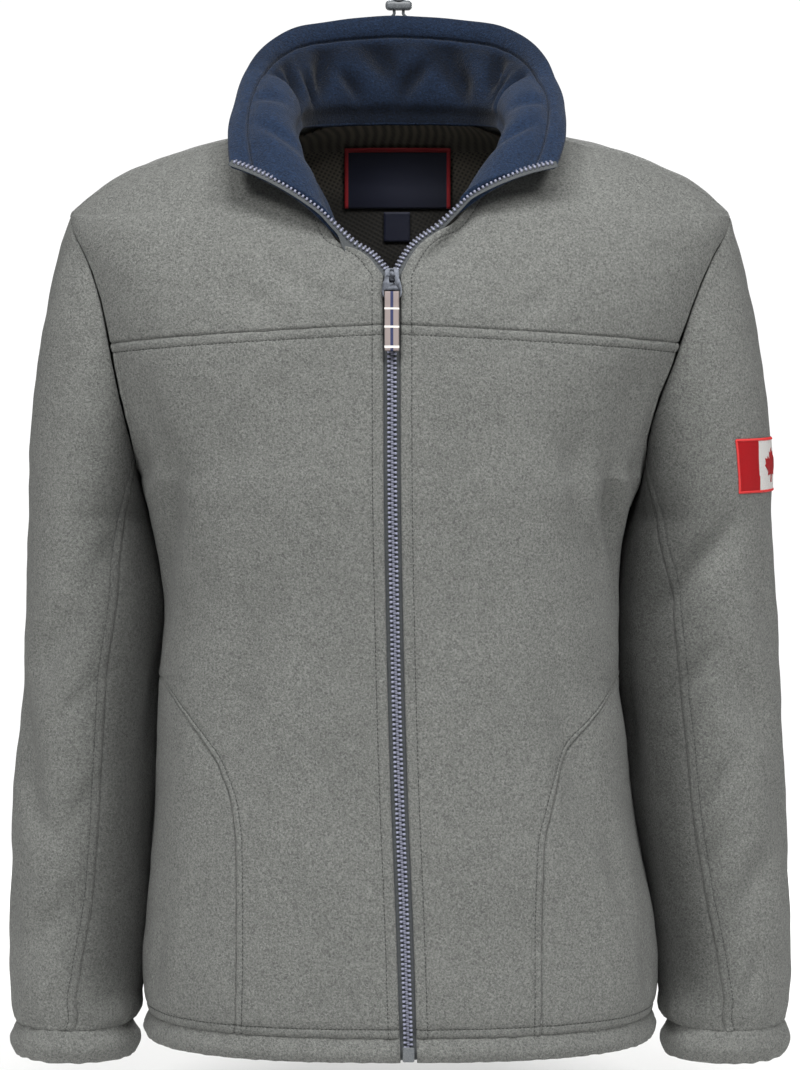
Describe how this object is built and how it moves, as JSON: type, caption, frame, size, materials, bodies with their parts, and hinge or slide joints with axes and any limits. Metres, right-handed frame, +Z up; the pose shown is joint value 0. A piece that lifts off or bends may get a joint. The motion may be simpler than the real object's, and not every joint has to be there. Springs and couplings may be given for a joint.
{
  "type": "fleece zip jacket",
  "caption": "Fleece zip jacket filled out as if worn, with an open stand collar, a front zip with a swinging pull, panelled body, two-piece sleeves and elasticated cuffs and hem.",
  "frame": {"origin": "middle of the neck opening, level with the two shoulder-neck points, where the wearer's shoulders carry the jacket", "axes": "+Z up, towards the collar; -Y towards the front with the zip; +X towards the wearer's left"},
  "size_m": [0.609, 0.267, 0.8263],
  "materials": {
    "fleece": "grey brushed fleece",
    "collar_fleece": "navy brushed fleece",
    "mesh_lining": "dark grey mesh",
    "zip_tape": "woven tape with moulded teeth",
    "label_satin": "navy woven satin",
    "patch_twill": "embroidered patch",
    "ribbon": "checked grosgrain ribbon",
    "zip_metal": "dull plated zinc",
    "lock_plastic": "grey moulded plastic",
    "cord": "dark braided cord"
  },
  "bodies": {
    "jacket": {"back": "fleece", "yoke_right": "fleece", "yoke_left": "fleece", "front_right": "fleece", "front_left": "fleece", "side_panel_right": "fleece", "side_panel_left": "fleece", "sleeve_upper_right": "fleece", "sleeve_under_right": "fleece", "sleeve_upper_left": "fleece", "sleeve_under_left": "fleece", "cuff_right": "fleece", "cuff_left": "fleece", "hem_band": "fleece", "collar": "collar_fleece", "neck_lining": "mesh_lining", "neck_label": "label_satin", "size_tag": "label_satin", "flag_patch": "patch_twill", "zip_right": "zip_tape", "zip_left": "zip_tape", "zip_box": "lock_plastic", "slider": "zip_metal", "cord_lock": "lock_plastic", "drawcord": "cord"},
    "pull_tab": {"pull": "zip_metal", "pull_ribbon": "ribbon"}
  },
  "joints": [
    {"name": "pull_hinge", "type": "hinge", "parent": "jacket", "child": "pull_tab", "pos_m": [-0.00602, -0.1301, -0.11673], "axis": [-1, 0, 0], "range_deg": [0, 140]}
  ]
}
